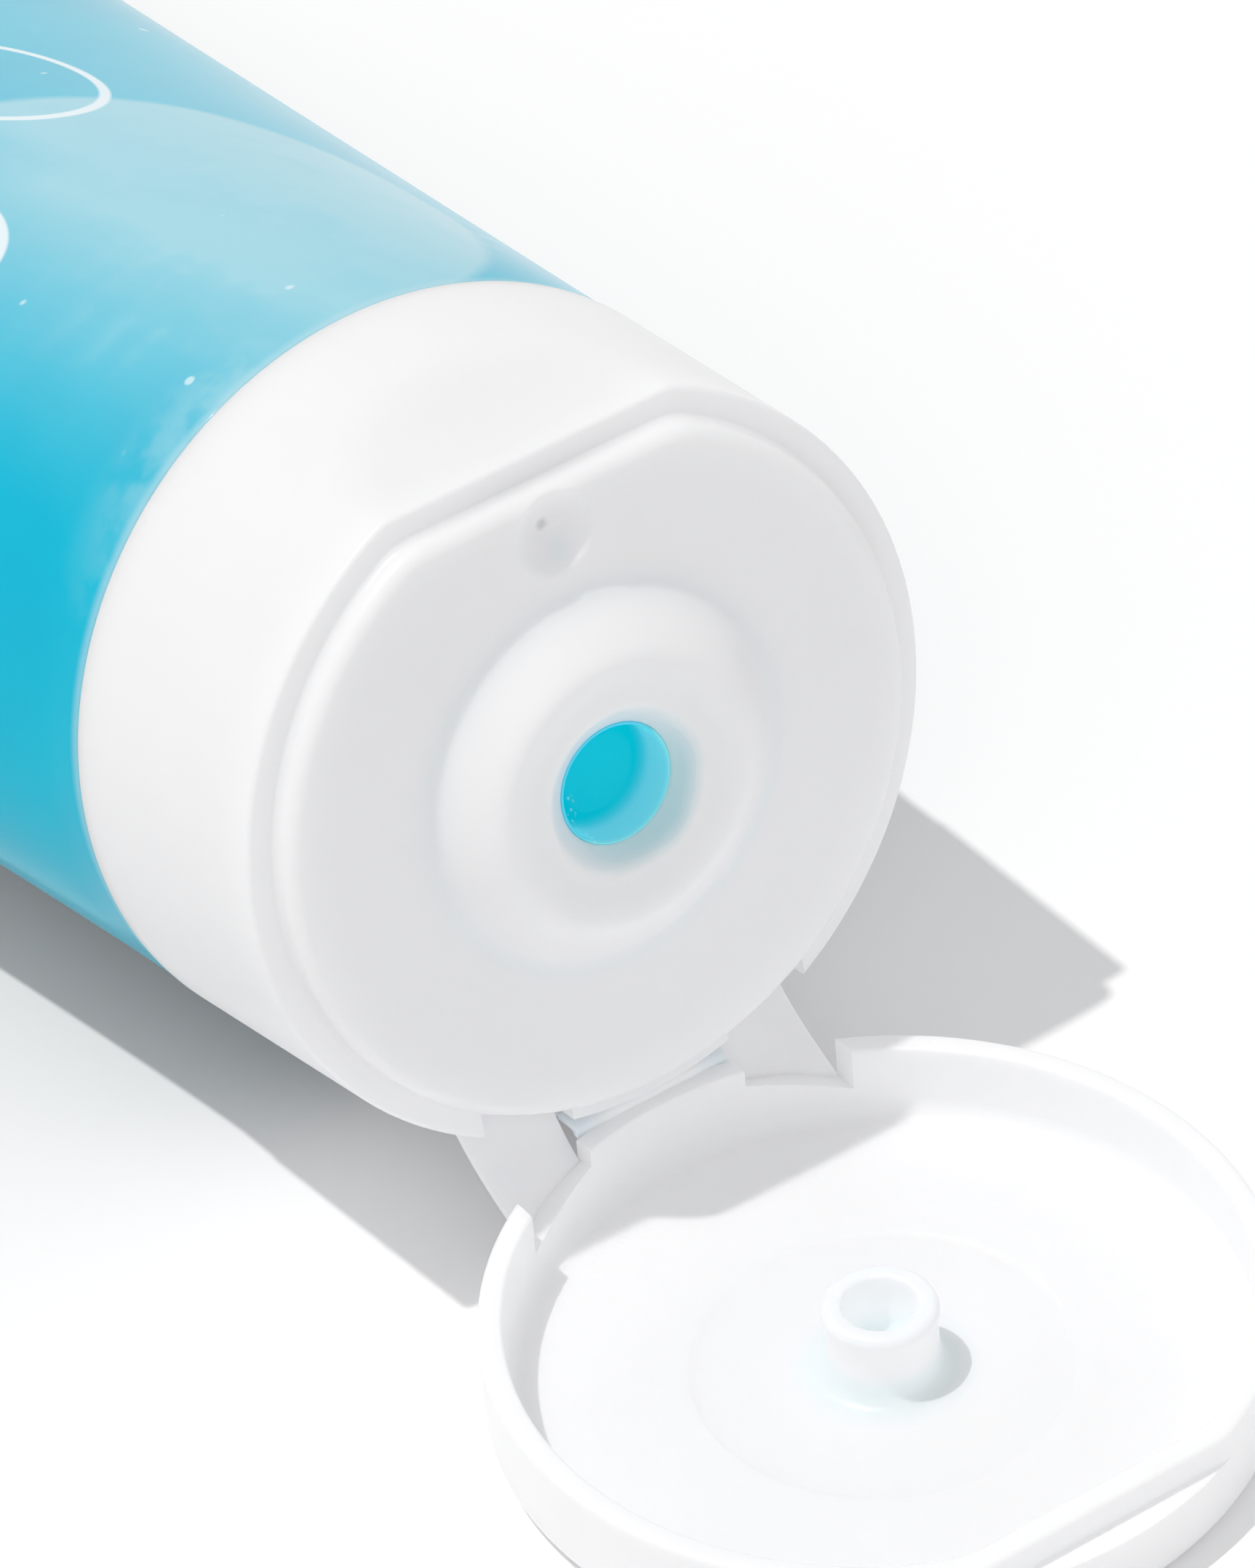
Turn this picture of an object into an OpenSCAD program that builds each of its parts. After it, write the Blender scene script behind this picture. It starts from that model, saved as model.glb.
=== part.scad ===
// Squeeze tube of foot gel with a snap-hinged flip-top closure, lying on its back with the lid open.
// X runs along the tube towards the closure, Z is up, and the ground is Z = 0.
// Inside the modules, local z is the tube's axis (out of the closure) with z = 0 at the ledge,
// local x points from the hinge to the thumb flat, and the lid is drawn closed, then turned open.

/* [Tube] */
// radius of the round end of the sleeve
tube_r = 25.4; // [15:0.2:35]
// length of the sleeve from the closure's lower edge to the cut tail, seal included
sleeve_len = 153; // [80:1:220]
// length of the flat welded tail seal
seal_len = 7; // [4:0.5:12]
// wall of the sleeve film
film_t = 0.5; // [0.3:0.05:1]
// full thickness of the welded tail
seal_t = 1.1; // [0.6:0.1:2]
// how far the upper side stays full towards the tail (1 is a straight wedge)
full_top = 1.35; // [1:0.05:2]
// how far the lower side stays full towards the tail
full_bottom = 1.1; // [1:0.05:1.2]

/* [Neck] */
// outer radius of the neck that the closure snaps on
neck_r = 9.2; // [6:0.1:12]
// height of the snap bead on the neck
bead_h = 0.5; // [0.2:0.1:1]
// bore radius of the neck
neck_bore_r = 6.6; // [4:0.1:9]

/* [Closure] */
// height of the closure from its lower edge to the ledge that the lid sits on
base_h = 19.4; // [12:0.2:30]
// how far the ledge's outer edge lies inside the sleeve's radius
closure_inset = 0.4; // [0:0.1:1.5]
// how far the skirt's lower edge stands proud of the sleeve
skirt_proud = 0.1; // [0:0.05:0.5]
// wall of the skirt
skirt_t = 1.8; // [1:0.1:2.5]
// width of the ledge round the raised deck
ledge_w = 2; // [1.2:0.1:3]
// height of the deck above the ledge
deck_h = 1.6; // [1:0.1:3]
// thickness of the deck plate
deck_t = 1.9; // [1.8:0.1:2.5]
// how deep the thumb flat cuts into the ledge
thumb_cut = 2.4; // [1:0.1:4]
// radius of the round thumb scoop below the flat
scoop_r = 19; // [10:0.5:40]
// length of the scoop down the skirt
scoop_len = 9.6; // [5:0.1:15]
// rounding of the deck's upper edge
deck_round = 0.7; // [0.2:0.1:1.2]

/* [Boss and orifice] */
// radius of the boss at its foot
boss_foot_r = 12.8; // [9:0.1:18]
// radius of the boss's crest
boss_crest_r = 8.7; // [6:0.1:14]
// height of the crest above the ledge
boss_crest_z = 4.5; // [3:0.1:7]
// height of the dish inside the crest
dish_z = 4.05; // [2:0.05:6]
// outer radius of the funnel
funnel_r = 5.5; // [4:0.1:8]
// radius of the orifice
orifice_r = 4.07; // [1:0.01:5]
// height of the orifice's edge above the ledge
orifice_z = 3.15; // [1:0.1:4]
// depth of the orifice's sealing tube below the ledge
seal_tube_len = 6; // [3:0.5:10]
// gap between the plug's tip and the gel's hollowed surface when the lid is closed
mouth_gap = 0.55; // [0.3:0.05:2]
// radius of the dimple near the thumb flat
dimple_r = 2.3; // [1:0.1:4]
// distance from the deck's flat side to the dimple
dimple_in = 3; // [2:0.1:6]

/* [Lid] */
// height of the closed lid's outer top above the ledge
lid_top = 7.1; // [5:0.1:12]
// height of the lid's ceiling above the ledge
lid_ceiling = 5.5; // [4:0.1:10]
// play between the lid's rim wall and the deck
lid_play = 0.45; // [0.2:0.05:1]
// play between the lid's rim and the ledge when closed
rim_gap = 0.15; // [0.05:0.05:0.5]
// rounding of the lid's outer top edge
lid_round = 1.4; // [0.5:0.1:3]
// play between the lid's chord wall and the deck's flat side
chord_play = 0.9; // [0.3:0.1:2]
// thickness of the lid's chord wall
chord_t = 1.75; // [0.8:0.05:2.5]
// height of the thumb lip's edge above the ledge when closed
lip_z = 2.1; // [1:0.1:4]
// radius of the faint round step in the ceiling
ring_r = 12; // [8:0.1:18]
// outer radius of the plug
plug_r = 3.7; // [1:0.05:5]
// inner radius of the plug
plug_in_r = 2.4; // [0:0.05:4]
// height of the plug's tip above the ledge when closed
plug_tip_z = 0.4; // [0:0.1:3]

/* [Hinge] */
// how far the hinge line lies inside the closure's outer wall
hinge_inset = 0.55; // [0.3:0.05:1.5]
// height of the hinge line above the ledge
hinge_z = -0.35; // [-2:0.05:1]
// half width of the middle hinge strip
strip_half = 6; // [3:0.1:10]
// half width of the whole hinge, webs included
web_half = 12.4; // [8:0.1:18]
// height of a closed web at its inner edge, below and above the hinge line
web_in_h = 2.1; // [1:0.1:4]
// height of a closed web at its outer edge, below the hinge line
web_out_h = 5.3; // [3:0.1:8]
// height of a closed web at its outer edge, above the hinge line
web_lid_h = 3.7; // [2.5:0.1:6]
// height of the lid's rim above the hinge line, over the middle strip
tab_h = 0.7; // [0.5:0.05:1.5]
// depth of the recess in the skirt that the webs and the strip fold into
hinge_recess = 1.2; // [0.8:0.1:1.5]
// thickness of the webs and of the strip
web_t = 0.5; // [0.3:0.05:0.8]

/* [Hidden] */
$fn = 96;
big = 4 * tube_r;
// the closure's own radii and flats, each from the sleeve's radius and named steps
closure_r = tube_r - closure_inset;
deck_r = closure_r - ledge_w;
thumb_flat = closure_r - thumb_cut;
deck_flat = thumb_flat - ledge_w;
dimple_x = deck_flat - dimple_in;
lid_in_r = deck_r + lid_play;
chord_in = deck_flat + chord_play;
chord_out = chord_in + chord_t;
hinge_x = closure_r - hinge_inset;
// the lid's top and the tail both rest on the ground: the axis rises by this angle to the closure
axis_h = lid_top - hinge_z;
tail_z = -(base_h + sleeve_len);
rest_b = hinge_x - seal_t / 2;
rest_c = -tail_z + hinge_z;
tilt = atan2(rest_b, rest_c) + asin(axis_h / norm([rest_b, rest_c]));
open_a = 90 + tilt;
// the hinge line's place along X puts the part's middle over the origin
tail_reach = hinge_x * sin(tilt) + (hinge_z - tail_z) * cos(tilt) + seal_t / 2 * sin(tilt);
hinge_at = (tail_reach - hinge_x - closure_r) / 2;
// scoop cylinder through the flat's edge and the skirt's surface
scoop_d = norm([scoop_len, closure_r - thumb_flat]);
scoop_m = sqrt(scoop_r * scoop_r - scoop_d * scoop_d / 4);
scoop_z = -scoop_len / 2 + scoop_m * (closure_r - thumb_flat) / scoop_d;
scoop_x = (thumb_flat + closure_r) / 2 + scoop_m * scoop_len / scoop_d;
skirt_in = closure_r - skirt_t;
mouth_r = plug_r + 0.12;
mouth_z = plug_tip_z - mouth_gap;
deck_under = deck_h - deck_t;
collar_in = neck_r + bead_h + 0.15;
collar_out = collar_in + 1.4;
fit_gap = 0.15;
white = [0.93, 0.93, 0.94];
milky = [0.86, 0.92, 0.93];
cyan = [0.12, 0.66, 0.82];
gel_blue = [0.0, 0.70, 0.84];

module placed() {
    translate([hinge_at, 0, axis_h]) rotate([0, 90 - tilt, 0]) rotate([0, 0, 180])
        translate([hinge_x, 0, -hinge_z]) children();
}

module opened() {
    placed() translate([-hinge_x, 0, hinge_z]) rotate([0, -open_a, 0])
        translate([hinge_x, 0, -hinge_z]) children();
}

function arc(cx, cz, r, a0, a1, n) =
    [for (i = [0:n]) let (a = a0 + (a1 - a0) * i / n) [cx + r * cos(a), cz + r * sin(a)]];
function ease(x0, z0, x1, z1, n) =
    [for (i = [1:n - 1]) let (t = i / n) [x0 + (x1 - x0) * t, z0 + (z1 - z0) * (1 - cos(180 * t)) / 2]];

// half thickness of the filled sleeve at t = 0 (round) to 1 (seal), and its half width at that girth
function half_t(t, full, r, e) = e + (r - e) * (1 - pow(t, full));
function half_w(b, r) = sqrt(max(0, 2 * r * r - b * b)) + 0.1564 * r * pow(max(0, 1 - b / r), 1.5);
function section(r, e, t, z, n) =
    let (bu = half_t(t, full_top, r, e), bl = half_t(t, full_bottom, r, e), a = half_w((bu + bl) / 2, r))
    [for (i = [0:n - 1]) let (q = 360 * i / n) [(sin(q) > 0 ? bu : bl) * sin(q), a * cos(q), z]];
function flat_section(b, w, z, n) =
    [for (i = [0:n - 1]) let (q = 360 * i / n, c = cos(q), s = sin(q))
        [b * sign(s) * pow(abs(s), 0.35), w * sign(c) * pow(abs(c), 0.9), z]];

module skin(rings) {
    n = len(rings[0]);
    m = len(rings);
    polyhedron(
        points = [for (g = rings) for (p = g) p],
        faces = concat(
            [[for (i = [0:n - 1]) i]],
            [for (k = [0:m - 2]) for (i = [0:n - 1]) let (j = (i + 1) % n)
                [k * n + i, (k + 1) * n + i, (k + 1) * n + j]],
            [for (k = [0:m - 2]) for (i = [0:n - 1]) let (j = (i + 1) % n)
                [k * n + i, (k + 1) * n + j, k * n + j]],
            [[for (i = [n - 1:-1:0]) (m - 1) * n + i]]));
}

body_len = sleeve_len - seal_len;
stations = [0, 0.03, 0.08, 0.14, 0.21, 0.28, 0.36, 0.44, 0.52, 0.6, 0.68, 0.76, 0.83, 0.89, 0.94, 0.975, 1];

// the filled form of the sleeve, drawn in by d all round
module tube_form(d, front, tail_cut) {
    n = 56;
    r = tube_r - d;
    e = max(0.12, seal_t / 2 - d);
    skin(concat(
        [section(r, e, 0, front, n)],
        [for (t = stations) if (t * (body_len - 3) < body_len - 3 - tail_cut)
            section(r, e, t, -base_h - 3 - t * (body_len - 3), n)]));
}

// welded sleeve: film wall, flattened to a crimped seal at the tail
module sleeve() {
    color(cyan) placed() {
        difference() {
            tube_form(0, -base_h - 0.25, -1);
            tube_form(film_t, -base_h + 1, 4);
        }
        // crimped bar across the tail, with shallow ridges along it
        wide = half_w(seal_t / 2, tube_r);
        skin([for (k = [0:12])
            let (z = -base_h - body_len + 0.6 - k * (seal_len + 0.6) / 12, b = seal_t / 2 * (k % 2 == 0 ? 0.8 : 1))
            flat_section(k == 12 ? seal_t / 2 : b, wide, z, 56)]);
    }
}

// moulded shoulder and neck that the sleeve is welded to, hidden under the closure
module shoulder() {
    color(milky) placed() rotate_extrude() polygon(concat(
        [[neck_bore_r, -2.8], [neck_r, -2.8], [neck_r, -7],
         [neck_r + bead_h, -7.6], [neck_r + bead_h, -8.4], [neck_r, -9.2],
         [neck_r, -15.2], [skirt_in - 0.6, -base_h + 1.1], [skirt_in, -base_h - 0.25],
         [tube_r - film_t - 0.05, -base_h - 0.25],
         [tube_r - film_t - 0.05, -base_h - 2.6], [tube_r - film_t - 1.2, -base_h - 2.6],
         [tube_r - film_t - 1.4, -base_h - 1.1], [neck_bore_r, -16.9]]));
}

// gel fill: the sleeve's inside, the neck and the orifice, with a hollowed surface at the mouth
module gel() {
    color(gel_blue) placed() {
        tube_form(film_t + 0.12, -base_h - 2.8, 5);
        rotate_extrude() polygon(concat(
            [[0, -base_h - 3], [tube_r - film_t - 1.6, -base_h - 3], [tube_r - film_t - 1.6, -base_h - 1.3],
             [neck_bore_r - 0.15, -17.15], [neck_bore_r - 0.15, -seal_tube_len - 0.3],
             [orifice_r - 0.05, -seal_tube_len - 0.3], [orifice_r - 0.05, orifice_z - 0.25]],
            [for (k = [1:10]) let (q = 90 * k / 10)
                [mouth_r * pow(max(0, cos(q)), 0.34),
                 orifice_z - 1 - (orifice_z - 1 - mouth_z) * pow(sin(q), 0.34)]]));
    }
}

// wall cut for the hinge, seen from outside: out_h high at the webs' outer edges, web_in_h at their
// inner edges and mid_h over the middle strip; side is -1 on the closure, 1 on the lid
module hinge_cut(side, out_h, mid_h) {
    translate([0, 0, hinge_z]) rotate([90, 0, -90]) linear_extrude(big)
        polygon([[-web_half, -side * 6], [web_half, -side * 6], [web_half, side * out_h],
                 [strip_half, side * web_in_h], [strip_half, side * mid_h],
                 [-strip_half, side * mid_h], [-strip_half, side * web_in_h], [-web_half, side * out_h]]);
}

// closure: skirt, ledge, raised deck, boss with the orifice, inner collar and sealing tube
module cap_base() {
    color(white) placed() difference() {
        union() {
            difference() {
                rotate_extrude() polygon([
                    [skirt_in + 0.3, -base_h], [tube_r + skirt_proud - 0.2, -base_h],
                    [tube_r + skirt_proud, -base_h + 0.3], [closure_r, -0.25], [closure_r - 0.25, 0],
                    [deck_r - 2.2, 0], [deck_r - 2.2, deck_under], [skirt_in, -3]]);
                // thumb scoop
                translate([scoop_x, 0, scoop_z]) rotate([90, 0, 0]) cylinder(r = scoop_r, h = big, center = true);
                // ledge removed over each web
                difference() {
                    for (hand = [-1, 1])
                        translate([-big, hand * (strip_half + web_half) / 2, hinge_z - 0.9])
                            translate([0, -(web_half - strip_half) / 2, 0]) cube([big, web_half - strip_half, base_h]);
                    translate([0, 0, -base_h]) cylinder(r = deck_r + 0.3, h = 3 * base_h);
                }
                // shallow recess that the webs and the strip fold into
                difference() {
                    hinge_cut(-1, web_out_h, web_in_h);
                    translate([0, 0, -base_h]) cylinder(r = closure_r - hinge_recess, h = 2 * base_h);
                }
            }
            // deck plate with its flat side, rounded along the upper edge
            intersection() {
                rotate_extrude() polygon(concat(
                    [[collar_in - 0.4, deck_under], [deck_r, deck_under]],
                    arc(deck_r - deck_round, deck_h - deck_round, deck_round, 0, 90, 5),
                    [[boss_foot_r - 0.4, deck_h], [collar_in - 0.4, deck_h]]));
                rotate([90, 0, 0]) linear_extrude(big, center = true) polygon(concat(
                    [[-big, -2], [deck_flat, -2]],
                    arc(deck_flat - deck_round, deck_h - deck_round, deck_round, 0, 90, 5),
                    [[-18.9, deck_h], [-deck_r, deck_h - 0.25], [-big, deck_h - 0.25]]));
            }
            // wall that follows the thumb scoop on the inside and carries the deck's flat side
            intersection() {
                translate([0, 0, -scoop_len - 3]) cylinder(r = closure_r - 0.25, h = scoop_len + 3);
                difference() {
                    union() {
                        translate([scoop_x, 0, scoop_z]) rotate([90, 0, 0])
                            cylinder(r = scoop_r + 1.5, h = big, center = true);
                        translate([deck_flat - 1.6, -big / 2, -2]) cube([3, big, 2]);
                    }
                    translate([scoop_x, 0, scoop_z]) rotate([90, 0, 0])
                        cylinder(r = scoop_r, h = big, center = true);
                }
            }
            // boss, dish, funnel, sealing tube and snap collar in one turned form
            rotate_extrude() polygon(concat(
                [[boss_foot_r + 0.6, deck_under], [boss_foot_r + 0.6, deck_h]],
                ease(boss_foot_r + 0.6, deck_h, boss_crest_r + 0.5, boss_crest_z, 9),
                [[boss_crest_r + 0.5, boss_crest_z], [boss_crest_r - 0.1, boss_crest_z]],
                ease(boss_crest_r - 0.1, boss_crest_z, funnel_r + 1, dish_z, 5),
                [[funnel_r + 1, dish_z], [funnel_r, dish_z - 0.03], [orifice_r + 0.5, orifice_z + 0.2],
                 [orifice_r, orifice_z - 0.2], [orifice_r, -seal_tube_len],
                 [orifice_r + 1.1, -seal_tube_len], [neck_bore_r - 0.6, -seal_tube_len + 1.2],
                 [neck_bore_r - 0.1, -seal_tube_len + 2], [neck_bore_r - 0.5, -seal_tube_len + 2.8],
                 [neck_bore_r - 0.5, dish_z - 1.5], [collar_in, dish_z - 2.4], [collar_in, -9.3],
                 [collar_in - bead_h, -9.9], [collar_in - bead_h, -10.7], [collar_in, -11.4],
                 [collar_in + 0.2, -13.6], [collar_out, -13.6], [collar_out, deck_under]]));
        }
        // dimple
        translate([dimple_x, 0, deck_h + dimple_r * 2.35]) sphere(r = dimple_r * 2.6, $fn = 48);
    }
}

// flip lid: top, rim wall, chord wall with the thumb lip behind it, and the hollow plug
module flip_lid() {
    color(white) opened() difference() {
        union() {
            rotate_extrude() polygon(concat(
                [[0, lid_top], [0, lid_ceiling + 0.15], [ring_r, lid_ceiling + 0.15], [ring_r + 0.15, lid_ceiling],
                 [lid_in_r - 1.5, lid_ceiling]],
                arc(lid_in_r - 1.5, lid_ceiling - 0.9, 0.9, 90, 12, 5),
                [[lid_in_r, rim_gap + 0.2], [lid_in_r + 0.2, rim_gap], [closure_r - 0.3, rim_gap],
                 [closure_r, rim_gap + 0.3]],
                arc(closure_r - lid_round, lid_top - lid_round, lid_round, 0, 90, 7)));
            // chord wall and the solid behind it
            intersection() {
                cylinder(r = closure_r - 0.35, h = lid_top - 0.5);
                translate([chord_in, -big / 2, rim_gap]) cube([big, big, lid_top - 0.6 - rim_gap]);
            }
            // plug with a rounded bead at its tip
            rotate_extrude() polygon(concat(
                [[plug_in_r, lid_ceiling - 0.6], [plug_in_r, plug_tip_z + 0.3], [plug_in_r + 0.25, plug_tip_z]],
                arc(plug_r - 0.6, plug_tip_z + 0.6, 0.6, -90, 0, 4),
                [[plug_r, plug_tip_z + 1], [plug_r - 0.15, plug_tip_z + 1.5], [plug_r - 0.15, lid_ceiling - 0.5],
                 [plug_r + 0.2, lid_ceiling + 0.4], [0, lid_ceiling + 0.4], [0, lid_ceiling - 0.6]]));
        }
        // wall cut back to the thumb lip
        translate([chord_out, -big / 2, -1]) cube([big, big, lip_z + 1]);
        // wall cut back over the hinge
        difference() {
            intersection() {
                translate([-big, -big / 2, -1]) cube([big - 8, big, web_out_h + 1]);
                hinge_cut(1, web_lid_h, tab_h);
            }
            translate([0, 0, -base_h]) cylinder(r = lid_in_r - 3, h = 3 * base_h);
        }
    }
}

// one side web: a thin plate between the two cut walls, drawn as ribs across it from its inner to
// its outer edge; it stops short of both walls by a small gap
module web(hand) {
    r_mid = closure_r - 0.4;
    gap = 0.45;
    n = 8;
    placed() scale([1, hand, 1]) skin([for (k = [0:n])
        let (f = k / n,
             y = strip_half + 0.15 + (web_half - strip_half - 0.3) * f,
             dx = hinge_x - sqrt(r_mid * r_mid - y * y),
             up = web_in_h + (web_lid_h - web_in_h) * f,
             low = [dx, -web_in_h - (web_out_h - web_in_h) * f],
             top = [dx * cos(open_a) - up * sin(open_a), dx * sin(open_a) + up * cos(open_a)],
             e = (top - low) / norm(top - low),
             w = [-e[1], e[0]] * web_t / 2)
        [for (p = [low + e * gap - w, low + e * gap + w, top - e * gap + w, top - e * gap - w])
            [p[0] - hinge_x, y, p[1] + hinge_z]]]);
}

module hinge_web_left() {
    color(milky) web(-1);
}

module hinge_web_right() {
    color(milky) web(1);
}

// middle strip: two short flaps that meet in a fold on the hinge line
module hinge_strip() {
    reach = web_in_h - fit_gap;
    lid_reach = tab_h - fit_gap;
    color(white) placed() translate([-hinge_x, 0, hinge_z]) rotate([90, 0, 0])
        linear_extrude(2 * strip_half - 0.5, center = true) union() {
            translate([-web_t / 2, -reach]) square([web_t, reach]);
            rotate(open_a) translate([-web_t / 2, 0]) square([web_t, lid_reach]);
            circle(r = web_t / 2, $fn = 24);
        }
}

sleeve();
shoulder();
gel();
cap_base();
flip_lid();
hinge_web_left();
hinge_web_right();
hinge_strip();
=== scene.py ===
# A squeeze tube of foot gel on its back, its flip-top closure open towards the camera.
# Every mesh is made in millimetres in the closure's own frame and placed in metres in the CAD's frame:
# across runs from the hinge to the thumb flat, side runs to the near side, and out runs out of the closure.
import math

import bmesh
import bpy
import numpy as np
from mathutils import Matrix, Vector


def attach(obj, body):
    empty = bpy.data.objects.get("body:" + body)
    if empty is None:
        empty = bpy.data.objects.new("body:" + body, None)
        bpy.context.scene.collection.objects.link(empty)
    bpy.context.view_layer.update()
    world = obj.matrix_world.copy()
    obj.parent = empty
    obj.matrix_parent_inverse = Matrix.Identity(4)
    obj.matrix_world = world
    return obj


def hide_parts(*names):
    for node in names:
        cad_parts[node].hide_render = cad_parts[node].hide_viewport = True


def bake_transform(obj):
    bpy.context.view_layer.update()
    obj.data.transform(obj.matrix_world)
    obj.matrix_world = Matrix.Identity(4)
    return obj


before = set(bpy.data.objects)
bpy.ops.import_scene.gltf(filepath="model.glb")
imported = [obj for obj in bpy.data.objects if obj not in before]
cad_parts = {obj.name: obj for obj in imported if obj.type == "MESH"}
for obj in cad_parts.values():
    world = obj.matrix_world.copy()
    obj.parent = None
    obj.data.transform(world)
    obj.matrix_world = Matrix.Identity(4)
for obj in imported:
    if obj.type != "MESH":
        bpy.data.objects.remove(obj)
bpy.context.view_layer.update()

# sizes of the part, in millimetres, as in its source
TUBE_R = 25.4
SLEEVE_LEN = 153.0
SEAL_LEN = 7.0
SEAL_T = 1.1
FILM_T = 0.5
FULL_TOP = 1.35
FULL_BOTTOM = 1.1
NECK_BORE_R = 6.6
BASE_H = 19.4
CLOSURE_R = 25.0
SKIRT_PROUD = 0.1
SKIRT_T = 1.8
DECK_R = 23.0
DECK_H = 1.6
THUMB_FLAT = 22.6
DECK_ROUND = 0.95
DECK_FOOT = 0.5
CREASE_AT = -19.5
CREASE_DROP = 0.26
SCOOP_R = 19.0
SCOOP_LEN = 9.6
SCOOP_WALL = 1.5
ORIFICE_R = 4.07
SEAL_TUBE_LEN = 6.0
COLLAR_IN = 9.85
MOUTH_TOP = 2.7
MOUTH_WALL = 0.3
MOUTH_FLOOR = -1.6
DIMPLE_R = 2.75
DIMPLE_X = 17.6
DIMPLE_DEPTH = 0.85
GATE_X = 0.5
GATE_SIDE = 0.45
LID_TOP = 7.1
LID_CEILING = 5.5
LID_IN_R = 23.45
RIM_GAP = 0.15
LID_ROUND = 1.4
CHORD_IN = 21.5
CHORD_OUT = 23.25
LIP_Z = 2.1
RING_R = 12.0
RING_STEP = 0.15
PLUG_R = 3.7
PLUG_IN_R = 2.4
PLUG_TIP_Z = 0.4
HINGE_X = 24.45
HINGE_Z = -0.35
STRIP_HALF = 6.0
WEB_HALF = 12.4
WEB_IN_H = 2.1
WEB_OUT_H = 5.3
WEB_LID_H = 3.7
TAB_H = 0.55
HINGE_RECESS = 1.2
FOLD_LEDGE_R = 24.2
LEDGE_CUT_Z = HINGE_Z - 0.9
WEB_T = 0.4
WEB_BOW_IN = 0.1
WEB_BOW_OUT = 0.55
WALL_INSET = 0.3

# the pose at rest: the lid's top and the tail both lie on the ground
AXIS_H = LID_TOP - HINGE_Z
TAIL_Z = -(BASE_H + SLEEVE_LEN)
REST_B = HINGE_X - SEAL_T / 2
REST_C = -TAIL_Z + HINGE_Z
TILT = math.atan2(REST_B, REST_C) + math.asin(AXIS_H / math.hypot(REST_B, REST_C))
TAIL_REACH = HINGE_X * math.sin(TILT) + (HINGE_Z - TAIL_Z) * math.cos(TILT) + SEAL_T / 2 * math.sin(TILT)
HINGE_AT = (TAIL_REACH - HINGE_X - CLOSURE_R) / 2

OUT = np.array([math.cos(TILT), 0.0, math.sin(TILT)])
ACROSS = np.array([-math.sin(TILT), 0.0, math.cos(TILT)])
SIDE = np.array([0.0, -1.0, 0.0])
HINGE = np.array([HINGE_AT, 0.0, AXIS_H])


def on_closure(points):
    """Points (across, side, out) in millimetres on the closure, in metres in the CAD's frame."""
    p = np.asarray(points, float)
    placed = HINGE + (p[..., :1] + HINGE_X) * ACROSS + p[..., 1:2] * SIDE + (p[..., 2:] - HINGE_Z) * OUT
    return placed / 1000


def on_lid(points):
    """The same for points of the lid as if closed: they are turned open about the hinge line."""
    p = np.asarray(points, float)
    placed = HINGE + np.stack([p[..., 0] + HINGE_X, -p[..., 1], HINGE_Z - p[..., 2]], -1)
    return placed / 1000


# meshes
AROUND = 384
SLEEVE_AROUND = 224
GEL_AROUND = 128
SOFT_FLAT = 0.3


def add_mesh(name, points, faces, smooth=True):
    mesh = bpy.data.meshes.new(name)
    corners = [tuple(p) for p in np.asarray(points, float)]
    mesh.from_pydata(corners, [], [tuple(int(i) for i in f) for f in faces])
    mesh.update()
    piece = bpy.data.objects.new(name, mesh)
    bpy.context.scene.collection.objects.link(piece)
    if smooth:
        for polygon in mesh.polygons:
            polygon.use_smooth = True
    return piece


def tidy_mesh(piece, weld=2e-6, sharp_degrees=34.0):
    """Welds doubled points, turns every face outward and marks the sharp edges."""
    work = bmesh.new()
    work.from_mesh(piece.data)
    bmesh.ops.remove_doubles(work, verts=work.verts, dist=weld)
    bmesh.ops.dissolve_degenerate(work, edges=work.edges, dist=weld / 4)
    bmesh.ops.recalc_face_normals(work, faces=work.faces)
    for edge in work.edges:
        edge.smooth = len(edge.link_faces) == 2 and edge.calc_face_angle(0.0) < math.radians(sharp_degrees)
    for face in work.faces:
        face.smooth = True
    work.to_mesh(piece.data)
    work.free()
    piece.data.update()


def soft_min(a, b, softness):
    blend = np.clip(0.5 + 0.5 * (b - a) / softness, 0, 1)
    return b * (1 - blend) + a * blend - softness * blend * (1 - blend)


def ease(t):
    t = np.clip(t, 0, 1)
    return t * t * (3 - 2 * t)


def turned(name, stations, place, count, closed=False, lift=None):
    """A turned form whose wall can follow a flat. Each station is (radius, out, flat, softness, weight):
    the wall stays inside the flat's distance across, as far as the weight says. Radius 0 makes a pole.
    lift moves a ring's points along the axis."""
    angle = np.arange(count) * 2 * math.pi / count
    cosine = np.maximum(np.cos(angle), 0.02)
    rings = []
    for radius, out, flat, softness, weight in stations:
        around = np.full(count, float(radius))
        if flat is not None:
            around = around * (1 - weight) + soft_min(around, flat / cosine, softness) * weight
        ring = np.stack([around * np.cos(angle), around * np.sin(angle), np.full(count, float(out))], 1)
        if lift is not None:
            ring[:, 2] += lift(ring)
        rings.append(ring)
    points, index, faces = [], [], []
    for station, ring in zip(stations, rings):
        if station[0] == 0:
            index.append([len(points)] * count)
            points.append(ring[0])
        else:
            index.append(list(range(len(points), len(points) + count)))
            points.extend(ring)
    pairs = list(zip(index[:-1], index[1:])) + ([(index[-1], index[0])] if closed else [])
    for low, high in pairs:
        for i in range(count):
            j = (i + 1) % count
            corners = [low[i], low[j], high[j], high[i]]
            face = [c for k, c in enumerate(corners) if c != corners[k - 1]]
            if len(face) > 2:
                faces.append(face)
    return add_mesh(name, place(points), faces)


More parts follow.
